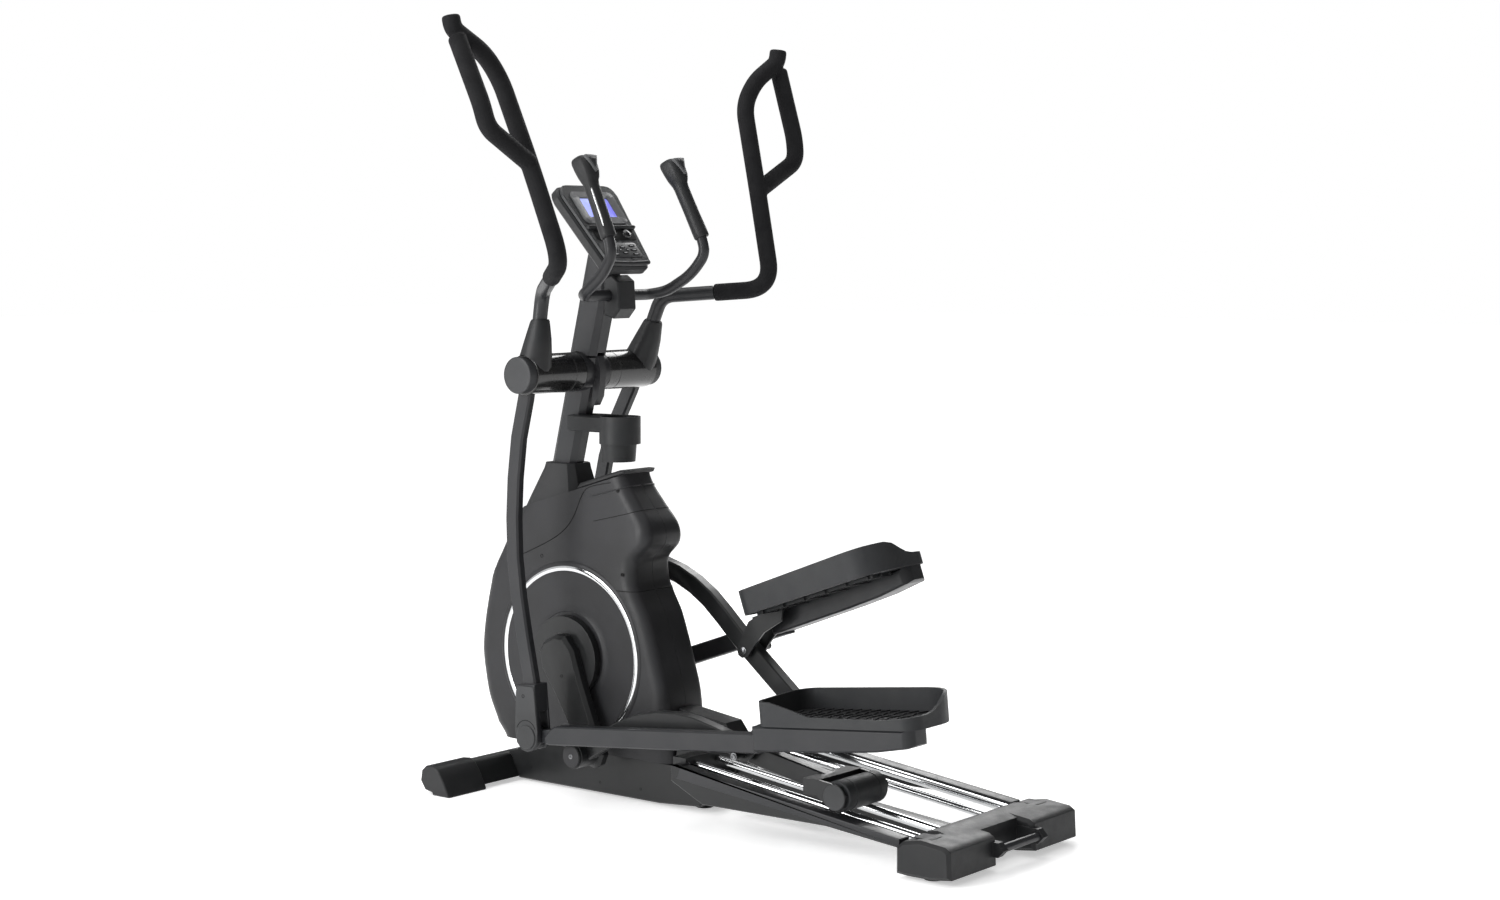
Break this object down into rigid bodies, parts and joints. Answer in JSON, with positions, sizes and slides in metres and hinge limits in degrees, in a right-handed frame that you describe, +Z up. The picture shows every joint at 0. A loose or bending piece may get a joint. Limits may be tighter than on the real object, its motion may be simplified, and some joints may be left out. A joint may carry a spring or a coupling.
{
  "type": "elliptical trainer",
  "caption": "Front-drive elliptical trainer with swing-arm handles, roller-guided pedals on sloping chrome rails, a tilted console and a domed drive housing.",
  "frame": {"origin": "middle of the bounding box, on the floor", "axes": "+X to the rider's right, +Y forward, the way the rider faces, +Z up"},
  "size_m": [0.9302, 1.462, 1.7345],
  "materials": {
    "coat": "satin black powder coat",
    "tube": "satin charcoal powder coat",
    "plastic": "fine matt black moulding",
    "shell": "satin dark grey moulding",
    "pedal": "lightly textured dark grey moulding",
    "rubber": "matt black",
    "foam": "closed-cell grip foam",
    "chrome": "bright polished",
    "steel": "dark drawn steel",
    "iron": "turned",
    "screen": "lit screen window",
    "face": "glossy black bezel"
  },
  "bodies": {
    "frame": {"base_frame": "coat", "front_stabilizer": "coat", "front_cap_left": "plastic", "front_cap_right": "plastic", "rear_cover": "plastic", "mast_collar": "plastic", "console_back": "plastic", "bar_clamp": "plastic", "pulse_grip_left": "plastic", "pulse_grip_right": "plastic", "bottle_holder": "plastic", "housing_top": "plastic", "rear_foot_left": "rubber", "rear_foot_right": "rubber", "centre_foot": "rubber", "drive_belt": "rubber", "rail_outer_left": "chrome", "rail_inner_left": "chrome", "rail_outer_right": "chrome", "rail_inner_right": "chrome", "lift_rod": "steel", "brake_magnet": "steel", "mast": "tube", "upper_mast": "tube", "fixed_bar": "tube", "console_face": "face", "console_display": "screen", "housing_left": "shell", "housing_right": "shell"},
    "wheel_left": {"transport_wheel_left": "rubber"},
    "wheel_right": {"transport_wheel_right": "rubber"},
    "keypad": {"console_keypad": "plastic"},
    "button_left": {"thumb_button_left": "plastic"},
    "button_right": {"thumb_button_right": "plastic"},
    "crank": {"crank_pulley": "iron", "crank_arm_left": "plastic", "crank_arm_right": "plastic"},
    "flywheel": {"flywheel": "iron"},
    "arm_left": {"arm_hub_left": "tube", "handle_stem_left": "tube", "handle_foam_left": "foam", "arm_socket_left": "plastic", "lower_arm_left": "tube"},
    "foot_left": {"foot_link_left": "tube", "pedal_left": "pedal", "pedal_mat_left": "rubber", "pedal_bracket_left": "coat"},
    "link_left": {"roller_arm_left": "coat"},
    "roller_left": {"roller_left": "rubber"},
    "arm_right": {"arm_hub_right": "tube", "handle_stem_right": "tube", "handle_foam_right": "foam", "arm_socket_right": "plastic", "lower_arm_right": "tube"},
    "foot_right": {"foot_link_right": "tube", "pedal_right": "pedal", "pedal_mat_right": "rubber", "pedal_bracket_right": "coat"},
    "link_right": {"roller_arm_right": "coat"},
    "roller_right": {"roller_right": "rubber"}
  },
  "joints": [
    {"name": "crank_turn", "type": "hinge", "parent": "frame", "child": "crank", "pos_m": [0, 0.442, 0.314], "axis": [1, 0, 0], "continuous": true},
    {"name": "flywheel_turn", "type": "hinge", "parent": "frame", "child": "flywheel", "pos_m": [0, 0.509, 0.52], "axis": [1, 0, 0], "continuous": true},
    {"name": "arm_swing_left", "type": "hinge", "parent": "frame", "child": "arm_left", "pos_m": [-0.184, 0.459, 0.96], "axis": [1, 0, 0], "range_deg": [-8.5, 22]},
    {"name": "foot_pivot_left", "type": "hinge", "parent": "arm_left", "child": "foot_left", "pos_m": [-0.203, 0.4331, 0.1544], "axis": [1, 0, 0], "range_deg": [-22.6, 8.8]},
    {"name": "link_pivot_left", "type": "hinge", "parent": "foot_left", "child": "link_left", "pos_m": [-0.143, -0.1407, 0.1818], "axis": [1, 0, 0], "range_deg": [-4, 1.6]},
    {"name": "roller_turn_left", "type": "hinge", "parent": "link_left", "child": "roller_left", "pos_m": [-0.138, -0.4085, 0.1339], "axis": [1, 0, 0], "continuous": true},
    {"name": "wheel_turn_left", "type": "hinge", "parent": "frame", "child": "wheel_left", "pos_m": [-0.251, 0.691, 0.017], "axis": [1, 0, 0], "continuous": true},
    {"name": "arm_swing_right", "type": "hinge", "parent": "frame", "child": "arm_right", "pos_m": [0.184, 0.459, 0.96], "axis": [1, 0, 0], "range_deg": [-22, 8.5]},
    {"name": "foot_pivot_right", "type": "hinge", "parent": "arm_right", "child": "foot_right", "pos_m": [0.203, 0.6389, 0.1743], "axis": [1, 0, 0], "range_deg": [-8.2, 20.9]},
    {"name": "link_pivot_right", "type": "hinge", "parent": "foot_right", "child": "link_right", "pos_m": [0.143, 0.0888, 0.3402], "axis": [1, 0, 0], "range_deg": [-0.9, 2.2]},
    {"name": "roller_turn_right", "type": "hinge", "parent": "link_right", "child": "roller_right", "pos_m": [0.138, -0.1232, 0.1698], "axis": [1, 0, 0], "continuous": true},
    {"name": "wheel_turn_right", "type": "hinge", "parent": "frame", "child": "wheel_right", "pos_m": [0.251, 0.691, 0.017], "axis": [1, 0, 0], "continuous": true},
    {"name": "keypad_press", "type": "slide", "parent": "frame", "child": "keypad", "axis": [0, 0.7826, -0.6225], "range_m": [0, 0.0016], "stiffness_N_per_m": 900, "springref_m": -0.0008},
    {"name": "button_press_left", "type": "slide", "parent": "frame", "child": "button_left", "axis": [0, 0.8968, -0.4425], "range_m": [0, 0.0025], "stiffness_N_per_m": 700, "springref_m": -0.001},
    {"name": "button_press_right", "type": "slide", "parent": "frame", "child": "button_right", "axis": [0, 0.8968, -0.4425], "range_m": [0, 0.0025], "stiffness_N_per_m": 700, "springref_m": -0.001}
  ],
  "couplings": [
    {"joint": "flywheel_turn", "follows": "crank_turn", "ratio": 6.0833},
    {"joint": "foot_pivot_left", "follows": "arm_swing_left", "ratio": -1.022},
    {"joint": "link_pivot_left", "follows": "arm_swing_left", "ratio": -0.177},
    {"joint": "arm_swing_right", "follows": "arm_swing_left", "ratio": -1},
    {"joint": "foot_pivot_right", "follows": "arm_swing_left", "ratio": 0.943},
    {"joint": "link_pivot_right", "follows": "arm_swing_left", "ratio": 0.093}
  ]
}
